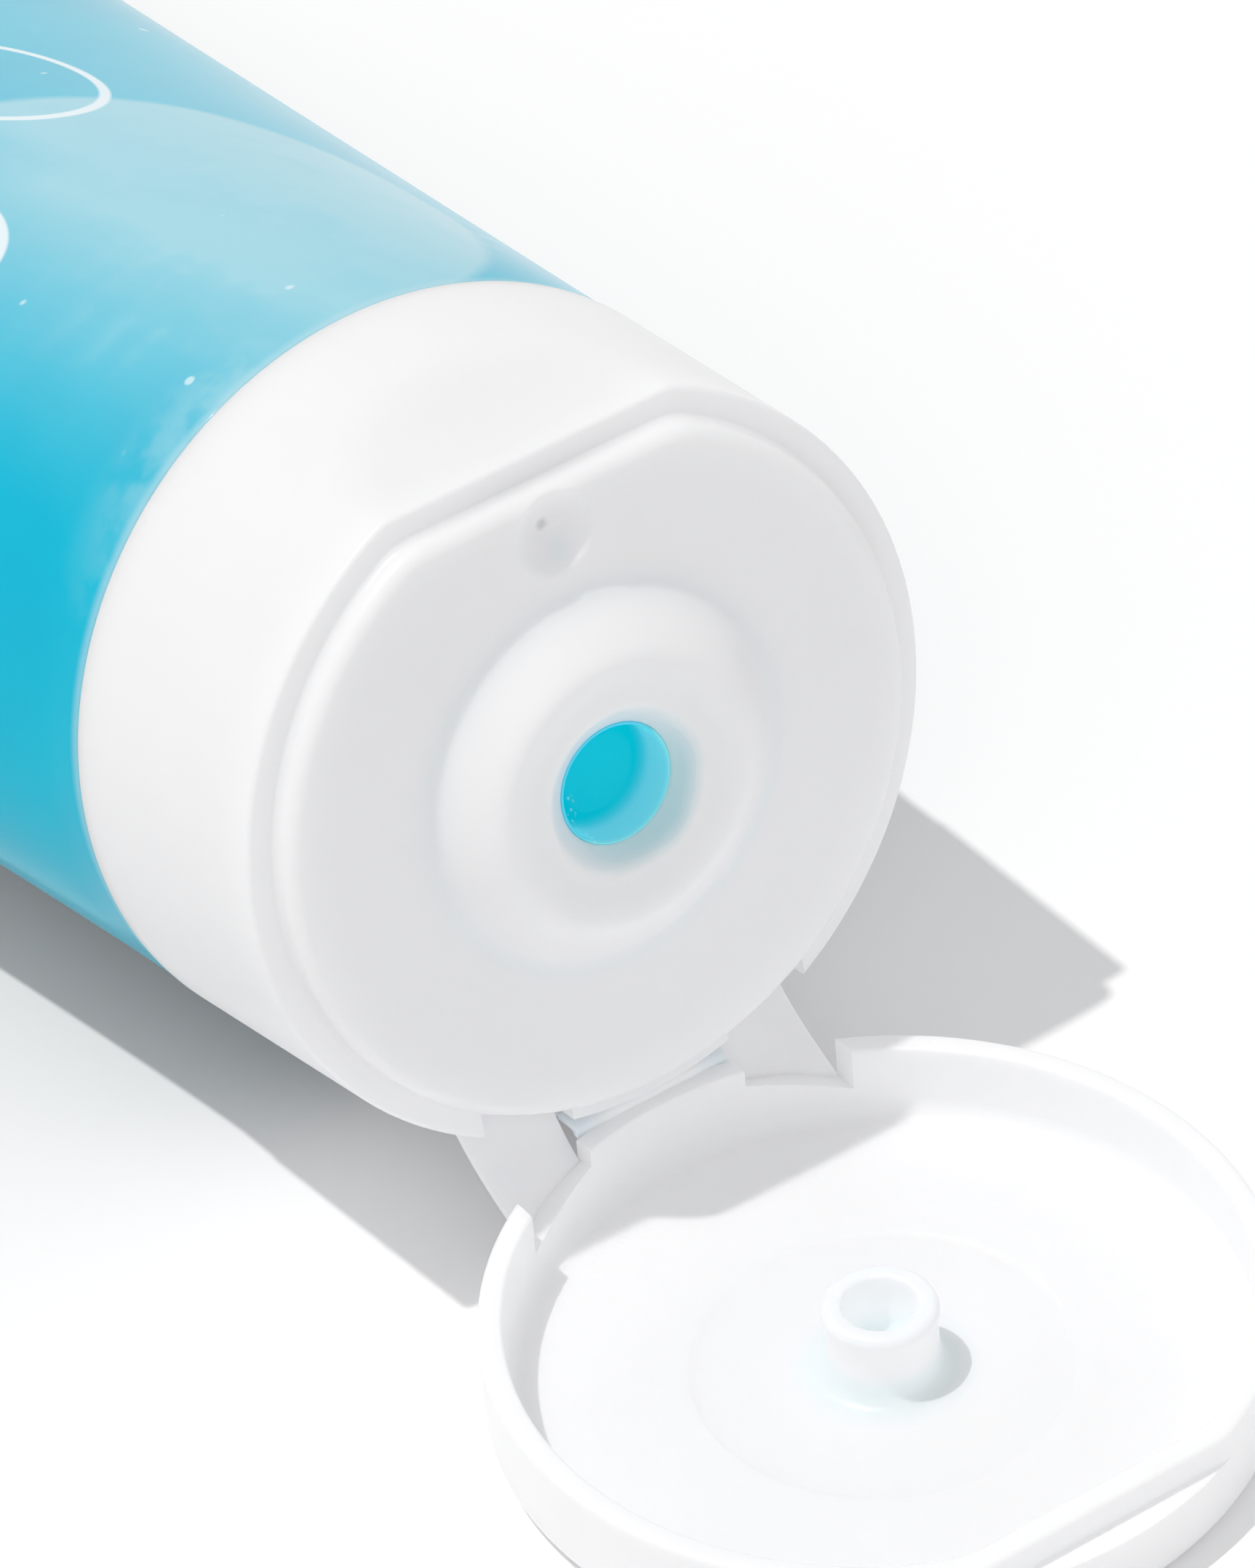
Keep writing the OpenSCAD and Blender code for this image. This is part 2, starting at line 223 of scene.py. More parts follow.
def prism(name, outline, place, low, high):
    """A straight prism: outline is a list of (a, b) and place puts (a, b, height) in the world."""
    n = len(outline)
    points = [(a, b, low) for a, b in outline] + [(a, b, high) for a, b in outline]
    faces = [tuple(range(n))[::-1], tuple(range(n, 2 * n))]
    faces += [(i, (i + 1) % n, n + (i + 1) % n, n + i) for i in range(n)]
    return add_mesh(name, place(points), faces, smooth=False)


def combine(piece, tool, operation):
    """An exact boolean, applied at once; the tool is used up."""
    step = piece.modifiers.new("cut", "BOOLEAN")
    step.operation = operation
    step.solver = "EXACT"
    step.object = tool
    graph = bpy.context.evaluated_depsgraph_get()
    graph.update()
    result = piece.evaluated_get(graph)
    mesh = bpy.data.meshes.new_from_object(result, preserve_all_data_layers=True, depsgraph=graph)
    piece.modifiers.clear()
    old = piece.data
    piece.data = mesh
    mesh.name = piece.name
    bpy.data.meshes.remove(old)
    used = tool.data
    bpy.data.objects.remove(tool)
    bpy.data.meshes.remove(used)


def plain_rows(knots):
    """Stations of turned() for a wall without a flat, from (radius, out)."""
    return [(radius, out, None, SOFT_FLAT, 1) for radius, out in knots]


def arc(centre_r, centre_z, radius, start, stop, steps):
    turn = np.radians(np.linspace(start, stop, steps + 1))
    return [(centre_r + radius * math.cos(t), centre_z + radius * math.sin(t)) for t in turn]


def smooth_line(knots, steps):
    """A monotone cubic through (radius, height) knots, as steps points at even radius."""
    knots = sorted(knots)
    x = np.array([k[0] for k in knots], float)
    y = np.array([k[1] for k in knots], float)
    slope = np.diff(y) / np.diff(x)
    tangent = np.concatenate([[slope[0]], (slope[:-1] + slope[1:]) / 2, [slope[-1]]])
    for i in range(len(slope)):
        if slope[i] == 0:
            tangent[i] = tangent[i + 1] = 0
        else:
            for j in (i, i + 1):
                ratio = tangent[j] / slope[i]
                tangent[j] = slope[i] * min(max(ratio, 0), 3)
    at = np.linspace(x[-1], x[0], steps)
    cell = np.clip(np.searchsorted(x, at, side="right") - 1, 0, len(slope) - 1)
    width = x[cell + 1] - x[cell]
    t = (at - x[cell]) / width
    height = ((2 * t**3 - 3 * t**2 + 1) * y[cell] + (t**3 - 2 * t**2 + t) * width * tangent[cell]
              + (3 * t**2 - 2 * t**3) * y[cell + 1] + (t**3 - t**2) * width * tangent[cell + 1])
    return list(zip(at, height))


# closure: skirt, ledge, deck, boss and orifice
SCOOP_D = math.hypot(SCOOP_LEN, CLOSURE_R - THUMB_FLAT)
SCOOP_M = math.sqrt(SCOOP_R**2 - SCOOP_D**2 / 4)
SCOOP_Z = -SCOOP_LEN / 2 + SCOOP_M * (CLOSURE_R - THUMB_FLAT) / SCOOP_D
SCOOP_X = (THUMB_FLAT + CLOSURE_R) / 2 + SCOOP_M * SCOOP_LEN / SCOOP_D
SKIRT_IN = CLOSURE_R - SKIRT_T
CEILING_Z = -0.35


def scoop_at(out):
    return SCOOP_X - math.sqrt(max(0.0, SCOOP_R**2 - (out - SCOOP_Z) ** 2))


def skirt_radius(out):
    foot = TUBE_R + SKIRT_PROUD
    return foot + (CLOSURE_R - foot) * (out + BASE_H - 0.3) / (BASE_H - 0.55)


def closure_stations():
    foot = TUBE_R + SKIRT_PROUD
    rows = plain_rows([(foot - 0.25, -BASE_H), (foot - 0.08, -BASE_H + 0.06)])
    heights = list(np.linspace(-BASE_H + 0.25, -12.4, 8)) + list(np.linspace(-12.0, -0.5, 44))
    for out in heights:
        softness = SOFT_FLAT + 1.1 * float(ease((-out - 1) / 6))
        rows.append((skirt_radius(out), out, scoop_at(out), softness, 1))
    rim = CLOSURE_R - THUMB_FLAT
    for r, z in arc(CLOSURE_R - 0.32, -0.32, 0.32, 0, 90, 5):
        rows.append((r, z, r - rim, 0.25, 1))
    for r in (24.3, 24.0, 23.7):
        rows.append((r, 0, r - rim, 0.4, 1))
    for r, z in arc(DECK_R + DECK_FOOT, DECK_FOOT, DECK_FOOT, 270, 180, 5):
        rows.append((r, z, r - rim, 0.6, 1))
    for r, z in arc(DECK_R - DECK_ROUND, DECK_H - DECK_ROUND, DECK_ROUND, 0, 90, 10):
        rows.append((r, z, r - rim, 0.8, 1))
    for r in np.linspace(21.9, 14.0, 26):
        rows.append((r, DECK_H, r - rim, 0.8, float(1 - ease((21.9 - r) / 7))))
    # the boss, from its foot over the crest into the dish and down the funnel
    rows += plain_rows(smooth_line([
        (13.7, 1.6), (13.0, 1.66), (12.2, 2.05), (11.2, 2.9), (10.2, 3.78), (9.4, 4.32), (8.7, 4.5),
        (8.0, 4.42), (7.3, 4.25), (6.5, 4.1), (5.75, 4.05), (5.45, 3.96), (5.0, 3.62), (4.6, 3.3),
        (4.3, 3.12), (ORIFICE_R + 0.03, 2.95)], 52))
    # the orifice and the sealing tube, then the snap collar and the closure's ceiling
    rows += plain_rows([
        (ORIFICE_R, 2.6), (ORIFICE_R, 0), (ORIFICE_R, -SEAL_TUBE_LEN), (ORIFICE_R + 1.1, -SEAL_TUBE_LEN),
        (NECK_BORE_R - 0.6, -4.8), (NECK_BORE_R - 0.1, -4.0), (NECK_BORE_R - 0.5, -3.2),
        (NECK_BORE_R - 0.5, 2.5), (COLLAR_IN, 1.6), (COLLAR_IN, -9.3), (COLLAR_IN - 0.5, -9.9),
        (COLLAR_IN - 0.5, -10.7), (COLLAR_IN, -11.4), (COLLAR_IN + 0.2, -13.6),
        (COLLAR_IN + 1.4, -13.6), (COLLAR_IN + 1.4, CEILING_Z), (DECK_R - 2.4, CEILING_Z)])
    for out in np.linspace(-3, -BASE_H, 15):
        inner = SKIRT_IN + 0.3 * (-out - 3) / (BASE_H - 3)
        rows.append((inner, out, scoop_at(out) - SCOOP_WALL, SOFT_FLAT, 1))
    return rows


def deck_relief(ring):
    """The dimple with its gate mark and small nub, and the deck's slight fall beyond a straight crease."""
    on_deck = np.clip((ring[:, 2] - (DECK_H - DECK_ROUND)) / DECK_ROUND, 0, 1) * (ring[:, 2] < DECK_H + 0.02)
    across, side = ring[:, 0] - DIMPLE_X, ring[:, 1]
    away = np.hypot(across, side)
    bowl = -DIMPLE_DEPTH * np.maximum(0, 1 - (away / DIMPLE_R) ** 2)
    rim = 0.06 * np.exp(-((away - DIMPLE_R - 0.2) / 0.25) ** 2)
    gate = -0.06 * (1 - ease(np.hypot(across - GATE_X, side - GATE_SIDE) / 0.7))
    nub = 0.2 * (1 - ease(np.hypot(across - 0.2, side + 0.35) / 0.7))
    fall = CREASE_DROP * np.minimum(0, (ring[:, 0] - CREASE_AT) / (DECK_R + CREASE_AT))
    return on_deck * (bowl + rim + gate + nub + fall)


closure = turned("closure_cap", closure_stations(), on_closure, AROUND, closed=True, lift=deck_relief)


# how far the cutters reach: out past the skirt, and above the hinge line
CUT_REACH = 34.0
CUT_ABOVE = 6.0
NOTCH_FROM, NOTCH_TO = -32.0, -12.0
CORE_TOP = 12.0
LEDGE_SPARE = 0.3


def wall_prism(name, outline, place, reach):
    """A prism with its outline in (side, out), from the axis to reach on the hinge's side."""
    def put(points):
        height_first = np.asarray(points, float)[:, [2, 0, 1]]
        return place(height_first * (-1, 1, 1))
    return prism(name, outline, put, 0.0, reach)


def round_bar(name, radius, place, low, high, count=AROUND):
    angle = (np.arange(count) + 0.5) * 2 * math.pi / count
    return prism(name, [(radius * math.cos(a), radius * math.sin(a)) for a in angle], place, low, high)


def bow_outline(out_h, mid_h, in_h):
    """The lid's wall cut for the hinge, seen from outside: mid_h high over the strip, and from in_h to
    out_h over each web."""
    half = [(-STRIP_HALF, mid_h), (-STRIP_HALF, in_h), (-WEB_HALF, out_h), (-WEB_HALF, -CUT_ABOVE)]
    whole = half + [(-a, h) for a, h in half[::-1]]
    return [(a, HINGE_Z + h) for a, h in whole]


def cut_hinge_side(piece, cutter, place, core):
    """Cuts a piece with a cutter that spares a round core about the axis."""
    combine(cutter, round_bar("core", core, place, -BASE_H, CORE_TOP), "DIFFERENCE")
    combine(piece, cutter, "DIFFERENCE")


above = HINGE_Z + CUT_ABOVE
for hand in (-1, 1):
    inner, outer = sorted((hand * STRIP_HALF, hand * WEB_HALF))
    notch_outline = [(NOTCH_FROM, inner), (NOTCH_FROM, outer), (NOTCH_TO, outer), (NOTCH_TO, inner)]
    notch = prism("notch", notch_outline, on_closure, LEDGE_CUT_Z, CUT_ABOVE)
    cut_hinge_side(closure, notch, on_closure, DECK_R + LEDGE_SPARE)
    recess_outline = [(hand * STRIP_HALF, above), (hand * WEB_HALF, above),
                      (hand * WEB_HALF, HINGE_Z - WEB_OUT_H), (hand * STRIP_HALF, HINGE_Z - WEB_IN_H)]
    recess = wall_prism("recess", recess_outline, on_closure, CUT_REACH)
    cut_hinge_side(closure, recess, on_closure, CLOSURE_R - HINGE_RECESS)
fold_half = STRIP_HALF + 0.02
fold_outline = [(-fold_half, above), (fold_half, above),
                (fold_half, HINGE_Z - WEB_IN_H), (-fold_half, HINGE_Z - WEB_IN_H)]
fold_recess = wall_prism("fold_recess", fold_outline, on_closure, CUT_REACH)
cut_hinge_side(closure, fold_recess, on_closure, FOLD_LEDGE_R)
tidy_mesh(closure)
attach(closure, "tube")
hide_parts("cap_base")


# flip lid: top, rim wall, chord wall with the thumb lip, and the hollow plug
def lid_stations():
    rows = [(r, LID_TOP) for r in (0, 4, 9, 14, 18, 21, 22.8)]
    rows += arc(CLOSURE_R - LID_ROUND, LID_TOP - LID_ROUND, LID_ROUND, 90, 0, 10)
    rows += [(CLOSURE_R, z) for z in (4.8, 3.9, 3.0, LIP_Z + 0.3)]
    rows = plain_rows(rows)
    # under the thumb lip the wall steps back to the chord
    part_way = CLOSURE_R - (CLOSURE_R - CHORD_OUT) * 0.5 / 1.2
    for z, flat in ((LIP_Z + 0.12, CLOSURE_R + 2.0), (LIP_Z, CLOSURE_R + 0.25), (LIP_Z, part_way),
                    (LIP_Z, CHORD_OUT), (LIP_Z - 0.25, CHORD_OUT), (1.2, CHORD_OUT)):
        rows.append((CLOSURE_R, z, flat, 0.05, 1))
    for r, z in arc(CLOSURE_R - 0.35, RIM_GAP + 0.35, 0.35, 0, -90, 5):
        rows.append((r, z, CHORD_OUT - (CLOSURE_R - r), 0.15, 1))
    for r, z in arc(LID_IN_R + 0.25, RIM_GAP + 0.25, 0.25, 270, 180, 4):
        rows.append((r, z, CHORD_IN + (r - LID_IN_R), 0.6, 1))
    for z in (0.9, 1.6, 2.4, 3.2, 3.8):
        rows.append((LID_IN_R, z, CHORD_IN, 0.7, 1))
    for r, z in arc(LID_IN_R - 1.3, LID_CEILING - 1.3, 1.3, 0, 90, 10):
        rows.append((r, z, CHORD_IN - (LID_IN_R - r), 0.9, 1))
    for r in (21.6, 21.0, 20.0, 18.5, 17.0, 15.5, 14.0, 12.9):
        rows.append((r, LID_CEILING, r - (LID_IN_R - CHORD_IN), 0.9, float(1 - ease((22 - r) / 6))))
    # the faint round step in the ceiling, then the plug's foot and wall
    deeper = LID_CEILING + RING_STEP
    rows += plain_rows([(RING_R + 0.32, LID_CEILING), (RING_R + 0.12, LID_CEILING + 0.05),
                        (RING_R - 0.1, LID_CEILING + 0.13)])
    rows += plain_rows([(r, deeper) for r in (RING_R - 0.35, 10.5, 8.5, 6.5, 5.2)])
    rows += plain_rows([(4.5, LID_CEILING + 0.12), (4.15, LID_CEILING), (3.9, LID_CEILING - 0.22),
                        (3.72, LID_CEILING - 0.6), (3.6, LID_CEILING - 1.2), (3.56, 3.2), (3.55, 2.2),
                        (3.57, 1.75), (3.66, 1.45)])
    # the plug's rounded tip and its bore
    rows += plain_rows(arc(PLUG_R - 0.55, PLUG_TIP_Z + 0.55, 0.55, 0, -90, 7))
    rows += plain_rows(arc(PLUG_IN_R + 0.3, PLUG_TIP_Z + 0.3, 0.3, 270, 180, 5))
    rows += plain_rows([(PLUG_IN_R, 1.5), (PLUG_IN_R, 2.8), (PLUG_IN_R - 0.02, 4.0), (2.25, 4.5),
                        (1.95, 4.8), (1.5, 4.9), (0.8, 4.9), (0, 4.9)])
    return rows


# the window's edge slopes from inside the lid's wall to its outside
CUTTER_FROM = 8.0
SLOPE_FROM, SLOPE_TO = 22.9, 24.6


def bevelled_cutter(name, inner, outer, place, inner_reach, outer_reach):
    """A cutter along the across axis whose outline, in (side, out), changes from inner to outer."""
    rows = [(CUTTER_FROM, inner), (inner_reach, inner), (outer_reach, outer), (CUT_REACH, outer)]
    count = len(inner)
    points = [(-reach, side, out) for reach, outline in rows for side, out in outline]
    faces = [tuple(range(count))[::-1], tuple(range(3 * count, 4 * count))]
    for k in range(3):
        for i in range(count):
            j = (i + 1) % count
            faces.append((k * count + i, k * count + j, (k + 1) * count + j, (k + 1) * count + i))
    return add_mesh(name, place(points), faces, smooth=False)


lid = turned("flip_top", lid_stations(), on_lid, AROUND)
window_in = bow_outline(WEB_LID_H, TAB_H, WEB_IN_H - 0.3)
window_out = bow_outline(WEB_LID_H + 0.1, TAB_H, WEB_IN_H + 0.4)
window = bevelled_cutter("window", window_in, window_out, on_lid, SLOPE_FROM, SLOPE_TO)
cut_hinge_side(lid, window, on_lid, LID_IN_R - 3)
tidy_mesh(lid)
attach(lid, "lid")
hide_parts("flip_lid")


# hinge webs and strip
def sheet(name, grid, thickness):
    """A closed thin sheet about a grid of points in metres."""
    grid = np.asarray(grid, float)
    rows, columns = grid.shape[:2]
    along = np.gradient(grid, axis=0)
    over = np.gradient(grid, axis=1)
    normal = np.cross(along, over)
    normal /= np.linalg.norm(normal, axis=-1, keepdims=True)
    half = normal * thickness / 2000
    points = np.concatenate([(grid + half).reshape(-1, 3), (grid - half).reshape(-1, 3)])
    n = rows * columns
    faces = []
    for i in range(rows - 1):
        for j in range(columns - 1):
            a = i * columns + j
            b = a + columns
            faces += [(a, b, b + 1, a + 1), (n + a + 1, n + b + 1, n + b, n + a)]
    edge = [(i, 0) for i in range(rows)]
    edge += [(rows - 1, j) for j in range(1, columns)]
    edge += [(i, columns - 1) for i in range(rows - 2, -1, -1)]
    edge += [(0, j) for j in range(columns - 2, 0, -1)]
    loop = [i * columns + j for i, j in edge]
    for a, b in zip(loop, loop[1:] + loop[:1]):
        faces.append((b, a, n + a, n + b))
    piece = add_mesh(name, points, faces)
    tidy_mesh(piece, weld=1e-8, sharp_degrees=40)
    return piece


def wall_point(side, out, place, inset=WALL_INSET):
    """A point just inside the wall's outer surface, on the hinge's side."""
    radius = CLOSURE_R - inset
    return place([-math.sqrt(radius**2 - side**2), side, out])


def hinge_web(name, hand, stand_in):
    """A thin web, softly bowed outwards, from the closure's recess to the lid's cut wall. hand is 1 on the
    near side and -1 on the far side."""
    rows, count = 19, 29
    grid = []
    for i in range(rows):
        s = i / (rows - 1)
        side = STRIP_HALF + 0.1 + (WEB_HALF - STRIP_HALF - 0.2) * s
        part = (side - STRIP_HALF) / (WEB_HALF - STRIP_HALF)
        low = WEB_IN_H + (WEB_OUT_H - WEB_IN_H) * part
        high = WEB_IN_H + 0.35 + (WEB_LID_H - WEB_IN_H - 0.25) * part
        start = wall_point(hand * side, HINGE_Z - low, on_closure, 0.55)
        end = wall_point(hand * side, HINGE_Z + high, on_lid)
        over = end - start
        outward = np.array([over[2], 0, -over[0]])
        outward = outward / np.linalg.norm(outward) * (-1 if outward[2] > 0 else 1) / 1000
        row = []
        for j in range(count):
            t = j / (count - 1)
            bow = (WEB_BOW_IN + (WEB_BOW_OUT - WEB_BOW_IN) * s) * math.sin(math.pi * t) ** 1.2
            row.append(start + over * t + outward * bow)
        grid.append(row)
    web = sheet(name, grid, WEB_T)
    start = wall_point(hand * WEB_HALF, HINGE_Z - WEB_OUT_H, on_closure)
    end = wall_point(hand * WEB_HALF, HINGE_Z + WEB_LID_H, on_lid)
    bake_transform(web)
    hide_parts(stand_in)
    return web


web_left = hinge_web("hinge_web_near", 1, "hinge_web_right")
web_right = hinge_web("hinge_web_far", -1, "hinge_web_left")


def middle_strip():
    """The middle strip: one end lies in the closure's recess, the other under the lid's rim, and it folds
    at the hinge line between them."""
    grid = []
    for i in range(25):
        side = (STRIP_HALF - 0.15) * (2 * i / 24 - 1)
        shift = np.array([0, -side / 1000, 0])
        low = wall_point(0, HINGE_Z - WEB_IN_H + 0.1, on_closure, 0.62) + shift
        high = wall_point(0, HINGE_Z + TAB_H + 0.1, on_lid, 0.42) + shift
        fold = HINGE / 1000 + shift + np.array([0.00025, 0, 0.0001])
        steps = np.linspace(0, 1, 17)
        grid.append([(1 - t) ** 2 * low + 2 * t * (1 - t) * fold + t * t * high for t in steps])
    strip = sheet("hinge_fold", grid, WEB_T)
    low = wall_point(0, HINGE_Z - 0.6, on_closure)
    high = wall_point(0, HINGE_Z + 0.6, on_lid)
    tuple(low)
    tuple(high)
    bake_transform(strip)
    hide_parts("hinge_strip")
    return strip


strip = middle_strip()


# sleeve and gel
BODY_LEN = SLEEVE_LEN - SEAL_LEN
FLAT_EXTRA = 0.1564


def half_thickness(t, full, radius, end):
    return end + (radius - end) * (1 - t**full)


def half_width(b, radius):
    """Half the width of a tube pressed to the half thickness b: its girth stays about the same."""
    return math.sqrt(max(0.0, 2 * radius**2 - b**2)) + FLAT_EXTRA * radius * max(0.0, 1 - b / radius) ** 1.5


def tube_ring(radius, end, t, out, count):
    upper = half_thickness(t, FULL_TOP, radius, end)
    lower = half_thickness(t, FULL_BOTTOM, radius, end)
    wide = half_width((upper + lower) / 2, radius)
    angle = np.arange(count) * 2 * math.pi / count
    deep = np.where(np.sin(angle) > 0, upper, lower)
    return np.stack([deep * np.sin(angle), wide * np.cos(angle), np.full(count, out)], 1)


def seal_ring(half, wide, out, count):
    angle = np.arange(count) * 2 * math.pi / count
    c, s = np.cos(angle), np.sin(angle)
    return np.stack([half * np.sign(s) * np.abs(s) ** 0.35, wide * np.sign(c) * np.abs(c) ** 0.9,
                     np.full(count, out)], 1)


def loft(name, rings, start_cap=True, end_cap=True):
    count = len(rings[0])
    faces = []
    for k in range(len(rings) - 1):
        for i in range(count):
            j = (i + 1) % count
            faces.append((k * count + i, k * count + j, (k + 1) * count + j, (k + 1) * count + i))
    if start_cap:
        faces.append(tuple(range(count)))
    if end_cap:
        faces.append(tuple((len(rings) - 1) * count + i for i in range(count))[::-1])
    return add_mesh(name, on_closure(np.concatenate(rings)), faces)


rings = [tube_ring(TUBE_R - 0.9, SEAL_T / 2, 0, -BASE_H - 0.02, SLEEVE_AROUND),
         tube_ring(TUBE_R - 0.12, SEAL_T / 2, 0, -BASE_H - 0.04, SLEEVE_AROUND),
         tube_ring(TUBE_R - 0.03, SEAL_T / 2, 0, -BASE_H - 0.12, SLEEVE_AROUND)]
rings += [tube_ring(TUBE_R, SEAL_T / 2, 0, -BASE_H - h, SLEEVE_AROUND) for h in (0.3, 1.0, 2.0)]
for t in np.linspace(0, 1, 120):
    rings.append(tube_ring(TUBE_R, SEAL_T / 2, t, -BASE_H - 3 - t * (BODY_LEN - 3), SLEEVE_AROUND))
seal_wide = half_width(SEAL_T / 2, TUBE_R)
for k in range(1, 57):
    half = SEAL_T / 2 * (0.9 + 0.1 * math.cos(2 * math.pi * k / 8))
    if k == 56:
        half = SEAL_T / 2
    rings.append(seal_ring(half, seal_wide, -BASE_H - BODY_LEN - k * SEAL_LEN / 56, SLEEVE_AROUND))
sleeve = loft("tinted_sleeve", rings)
tidy_mesh(sleeve, weld=1e-8, sharp_degrees=50)
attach(sleeve, "tube")
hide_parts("sleeve")


def gel_body():
    count = GEL_AROUND
    inset = FILM_T + 0.12
    radius = TUBE_R - inset
    end = max(0.12, SEAL_T / 2 - inset)
    rings = []
    for t in np.linspace(0.97, 0, 50):
        rings.append(tube_ring(radius, end, t, -BASE_H - 3 - t * (BODY_LEN - 3), count))
    rings[0] = rings[0] * (0.96, 0.96, 1)
    rings.append(tube_ring(radius, end, 0, -BASE_H - 2.8, count))
    wall = ORIFICE_R - 0.03
    round_rings = [(TUBE_R - FILM_T - 1.6, -BASE_H - 2.6), (TUBE_R - FILM_T - 1.6, -BASE_H - 1.3),
                   (NECK_BORE_R - 0.15, -17.15), (NECK_BORE_R - 0.15, -SEAL_TUBE_LEN - 0.3),
                   (wall, -SEAL_TUBE_LEN - 0.3), (wall, -1.0), (wall, 1.0), (wall, 2.75), (wall + 0.02, 2.9),
                   (wall, 3.0), (wall - 0.1, 3.02), (wall - 0.18, 2.92)]
    mouth_r = PLUG_R + 0.15
    round_rings += [(mouth_r, z) for z in np.linspace(MOUTH_TOP, MOUTH_WALL, 8)[:-1]]
    for turn in np.radians(np.linspace(0, 90, 25)):
        depth = (MOUTH_WALL - MOUTH_FLOOR) * math.sin(turn)
        round_rings.append((mouth_r * math.cos(turn), MOUTH_WALL - depth))
    angle = np.arange(count) * 2 * math.pi / count
    for r, z in round_rings:
        rings.append(np.stack([r * np.sin(angle), r * np.cos(angle), np.full(count, z)], 1))
    gel = loft("gel_fill", rings)
    tidy_mesh(gel, weld=1e-7, sharp_degrees=60)
    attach(gel, "tube")
    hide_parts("gel")
    return gel


gel = gel_body()


# materials
class Value:
    """A socket's value in an expression: each operator adds the Math node that works it out."""

    def __init__(self, graph, socket):
        self.graph, self.socket = graph, socket

    def _math(self, operation, *others):
        return self.graph.node("ShaderNodeMath", {"operation": operation}, [self, *others])

    def __add__(self, other):
        return self._math("ADD", other)

    def __radd__(self, other):
        return self._math("ADD", other)

    def __mul__(self, other):
        return self._math("MULTIPLY", other)

    def __rmul__(self, other):
        return self._math("MULTIPLY", other)

    def __sub__(self, other):
        return self._math("SUBTRACT", other)

    def __rsub__(self, other):
        return self.graph.node("ShaderNodeMath", {"operation": "SUBTRACT"}, [other, self])

    def __truediv__(self, other):
        return self._math("DIVIDE", other)

    def __pow__(self, other):
        return self._math("POWER", other)

    def abs(self):
        return self._math("ABSOLUTE")

    def sine(self):
        return self._math("SINE")

    def at_most(self, other):
        return self._math("MINIMUM", other)

    def at_least(self, other):
        return self._math("MAXIMUM", other)

    def root(self):
        return self._math("SQRT")

    def between(self, low, high, smooth=True):
        """0 at low, 1 at high, clamped; low may be the larger."""
        if low > high:
            return 1 - self.between(high, low, smooth)
        kind = "SMOOTHSTEP" if smooth else "LINEAR"
        return self.graph.node("ShaderNodeMapRange", {"interpolation_type": kind},
                               {"Value": self, "From Min": low, "From Max": high})


class Graph:
    """The nodes of one material, or of the world."""

    def __init__(self, owner):
        owner.use_nodes = True
        self.owner, self.tree = owner, owner.node_tree
        self.tree.nodes.clear()

    def node(self, kind, settings=None, inputs=(), output=0):
        made = self.tree.nodes.new(kind)
        for key, value in (settings or {}).items():
            setattr(made, key, value)
        for key, value in inputs.items() if isinstance(inputs, dict) else enumerate(inputs):
            socket = made.inputs[key]
            if isinstance(value, Value):
                self.tree.links.new(value.socket, socket)
            else:
                socket.default_value = (*value, 1) if socket.type == "RGBA" and len(value) == 3 else value
        return None if output is None else Value(self, made.outputs[output])

    def finish(self, shader, output="ShaderNodeOutputMaterial"):
        self.node(output, {}, {"Surface": shader}, output=None)
        return self.owner

    def place(self):
        """Where on the object, in metres at rest."""
        return self.node("ShaderNodeTexCoord", output="Object")

    def shift(self, vector, by):
        return self.node("ShaderNodeVectorMath", {"operation": "SUBTRACT"}, [vector, by])

    def scaled(self, vector, by):
        return self.node("ShaderNodeVectorMath", {"operation": "MULTIPLY"}, [vector, by])

    def along(self, vector, direction):
        settings = {"operation": "DOT_PRODUCT"}
        return self.node("ShaderNodeVectorMath", settings, [vector, tuple(direction)], output="Value")

    def mix(self, factor, one, two):
        """Two colours mixed; sockets 6 and 7 are the colour inputs, and output 2 is the colour."""
        return self.node("ShaderNodeMix", {"data_type": "RGBA"}, {0: factor, 6: one, 7: two}, output=2)

    def noise(self, vector, scale, detail=2.0, roughness=0.5):
        return self.node("ShaderNodeTexNoise", {"noise_dimensions": "3D"},
                         {"Vector": vector, "Scale": scale, "Detail": detail, "Roughness": roughness})

    def cells(self, vector, scale, output="Distance"):
        inputs = {"Vector": vector, "Scale": scale}
        return self.node("ShaderNodeTexVoronoi", {"feature": "F1"}, inputs, output=output)

    def bump(self, height, distance, strength=1.0, over=None):
        inputs = {"Height": height, "Distance": distance, "Strength": strength}
        if over is not None:
            inputs["Normal"] = over
        return self.node("ShaderNodeBump", {}, inputs)

    def ray(self, kind):
        return self.node("ShaderNodeLightPath", output=kind)

    def on_closure(self, place):
        """Across, side and out on the closure, in millimetres."""
        from_hinge = self.shift(place, tuple(HINGE / 1000))
        return (self.along(from_hinge, ACROSS * 1000) - HINGE_X, self.along(from_hinge, SIDE * 1000),
                self.along(from_hinge, OUT * 1000) + HINGE_Z)

    def on_lid(self, place):
        """Across, side and out on the lid as if closed, in millimetres."""
        from_hinge = self.shift(place, tuple(HINGE / 1000))
        return (self.along(from_hinge, (1000, 0, 0)) - HINGE_X, self.along(from_hinge, (0, -1000, 0)),
                HINGE_Z - self.along(from_hinge, (0, 0, 1000)))


def linear(r, g, b):
    """An 8-bit display colour as linear light."""
    shown = [c / 255 for c in (r, g, b)]
    return tuple(c / 12.92 if c <= 0.04045 else ((c + 0.055) / 1.055) ** 2.4 for c in shown)


def material_graph(name):
    return Graph(bpy.data.materials.new(name))


def length(a, b):
    return (a * a + b * b).root()


